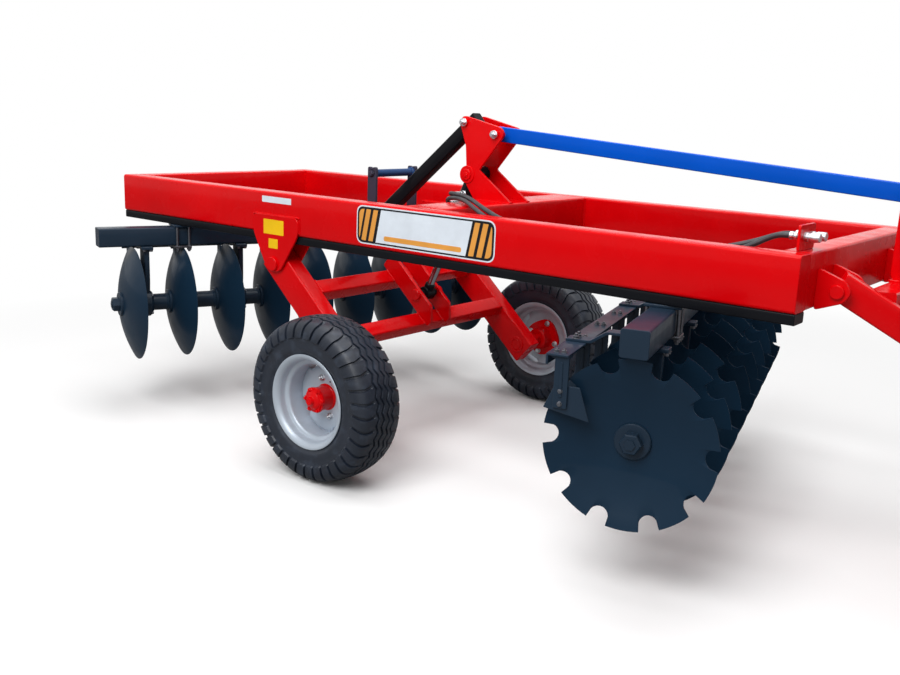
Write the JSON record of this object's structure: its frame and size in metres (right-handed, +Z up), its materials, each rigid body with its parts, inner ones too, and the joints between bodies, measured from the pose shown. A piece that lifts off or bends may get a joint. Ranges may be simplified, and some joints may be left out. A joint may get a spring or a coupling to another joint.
{
  "type": "trailed offset disc harrow",
  "caption": "Trailed offset disc harrow: box-beam frame, hydraulic wheel carriage, notched front and plain rear disc gangs set in a V, drawbar with tie bar and jack.",
  "frame": {"origin": "on the ground under the middle of the whole machine", "axes": "+X forward to the hitch, +Y to the machine's left, +Z up"},
  "size_m": [5.403, 2.3868, 1.6671],
  "materials": {
    "red_paint": "gloss enamel",
    "black_paint": "semi-gloss",
    "navy_paint": "semi-gloss",
    "blue_paint": "gloss enamel",
    "slate_paint": "semi-gloss",
    "disc_paint": "semi-gloss",
    "zinc_steel": "zinc plated",
    "chrome_rod": "polished",
    "tyre_rubber": "new rubber",
    "rim_paint": "satin silver",
    "hose_rubber": "matte",
    "clip_plastic": "moulded"
  },
  "bodies": {
    "frame": {"right_beam": "red_paint", "left_beam": "red_paint", "under_rails": "black_paint", "front_cross_beam": "red_paint", "middle_cross_beam": "red_paint", "rear_cross_beam": "red_paint", "brace_cross_tube": "black_paint", "pivot_brackets": "red_paint", "tower_plates": "red_paint", "brace": "black_paint", "rest_posts": "black_paint", "rest_bar": "navy_paint", "tie_bar": "blue_paint", "drawbar_legs": "red_paint", "drawbar_lugs": "red_paint", "drawbar_cross_tube": "red_paint", "mast": "red_paint", "drawbar_nose": "red_paint", "hitch_tongue": "red_paint", "frame_pins": "zinc_steel", "front_gang_beam": "slate_paint", "front_hangers": "slate_paint", "front_scraper_bar": "slate_paint", "front_scrapers": "slate_paint", "rear_gang_beam": "slate_paint", "rear_hangers": "slate_paint", "rear_scraper_bar": "slate_paint", "rear_scrapers": "slate_paint", "jack_socket": "red_paint", "upper_hose": "hose_rubber", "lower_hose": "hose_rubber", "hose_bulkhead": "black_paint", "hose_clips": "clip_plastic"},
    "carriage": {"carriage_arms": "red_paint", "carriage_tubes": "red_paint", "cylinder_lugs": "red_paint", "stub_axles": "zinc_steel"},
    "right_wheel": {"right_tyre": "tyre_rubber", "right_rim": "rim_paint", "right_hub": "red_paint"},
    "left_wheel": {"left_tyre": "tyre_rubber", "left_rim": "rim_paint", "left_hub": "red_paint"},
    "barrel": {"cylinder_barrel": "black_paint"},
    "rod": {"cylinder_rod": "chrome_rod"},
    "front_gang": {"front_discs": "disc_paint", "front_spools": "slate_paint"},
    "rear_gang": {"rear_discs": "disc_paint", "rear_spools": "slate_paint"},
    "jack": {"jack_tube": "zinc_steel", "jack_leg": "zinc_steel", "jack_crank": "zinc_steel"}
  },
  "joints": [
    {"name": "carriage_lift", "type": "hinge", "parent": "frame", "child": "carriage", "pos_m": [-1.4295, 0, 0.901], "axis": [0, -1, 0], "range_deg": [0, 30]},
    {"name": "barrel_swing", "type": "hinge", "parent": "frame", "child": "barrel", "pos_m": [-0.7295, 0, 1.372], "axis": [0, 1, 0], "range_deg": [0, 7.68], "deforming": ["upper_hose", "lower_hose"]},
    {"name": "rod_slide", "type": "slide", "parent": "barrel", "child": "rod", "axis": [0.4195, 0, 0.9077], "range_m": [0, 0.2151]},
    {"name": "right_wheel_spin", "type": "hinge", "parent": "carriage", "child": "right_wheel", "pos_m": [-0.8485, -0.923, 0.38], "axis": [0, 1, 0], "continuous": true},
    {"name": "left_wheel_spin", "type": "hinge", "parent": "carriage", "child": "left_wheel", "pos_m": [-0.8485, 0.923, 0.38], "axis": [0, 1, 0], "continuous": true},
    {"name": "front_gang_spin", "type": "hinge", "parent": "frame", "child": "front_gang", "pos_m": [0.4825, 0, 0.585], "axis": [0.2588, -0.9659, 0], "continuous": true},
    {"name": "rear_gang_spin", "type": "hinge", "parent": "frame", "child": "rear_gang", "pos_m": [-1.9985, 0.00895, 0.585], "axis": [0.3665, 0.9304, 0], "continuous": true},
    {"name": "jack_swivel", "type": "hinge", "parent": "frame", "child": "jack", "pos_m": [2.4415, -0.205, 0.5], "axis": [0, 1, 0], "range_deg": [0, 90]}
  ],
  "couplings": [
    {"joint": "barrel_swing", "follows": "carriage_lift", "ratio": 0.24948},
    {"joint": "rod_slide", "follows": "carriage_lift", "m_per_rad": 0.40695}
  ]
}
